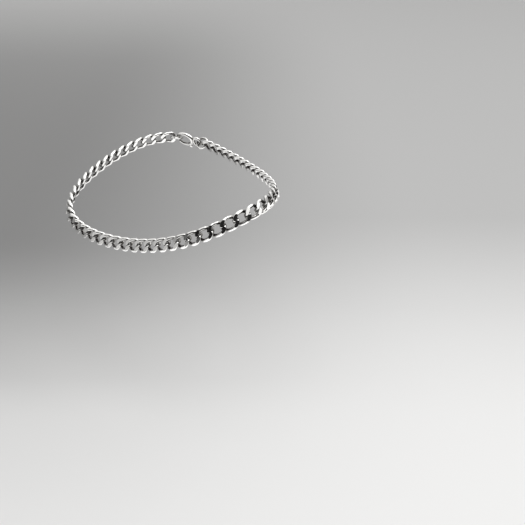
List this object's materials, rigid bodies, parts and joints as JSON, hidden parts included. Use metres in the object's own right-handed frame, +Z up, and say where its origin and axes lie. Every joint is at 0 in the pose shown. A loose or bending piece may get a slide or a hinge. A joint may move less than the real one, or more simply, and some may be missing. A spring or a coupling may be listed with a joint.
{
  "type": "curb chain anklet",
  "caption": "Anklet of flat curb chain in bright silver, closed round an open ankle space, with a lobster clasp and jump rings on the far side.",
  "frame": {"origin": "middle of the loop, on the line where the ankle passes through, at the loop's middle height", "axes": "+Z up along the leg, +X to the front of the ankle, -Y to the inner side of the ankle, which the picture shows"},
  "size_m": [0.0932, 0.067, 0.0245],
  "materials": {
    "chain_silver": "bright polished silver, filed flat faces",
    "clasp_silver": "bright polished silver"
  },
  "bodies": {
    "root": {"curb_chain_back": "chain_silver", "curb_chain_front": "chain_silver", "jump_ring_start": "clasp_silver", "jump_ring_end": "clasp_silver", "lobster_clasp": "clasp_silver"}
  },
  "joints": []
}
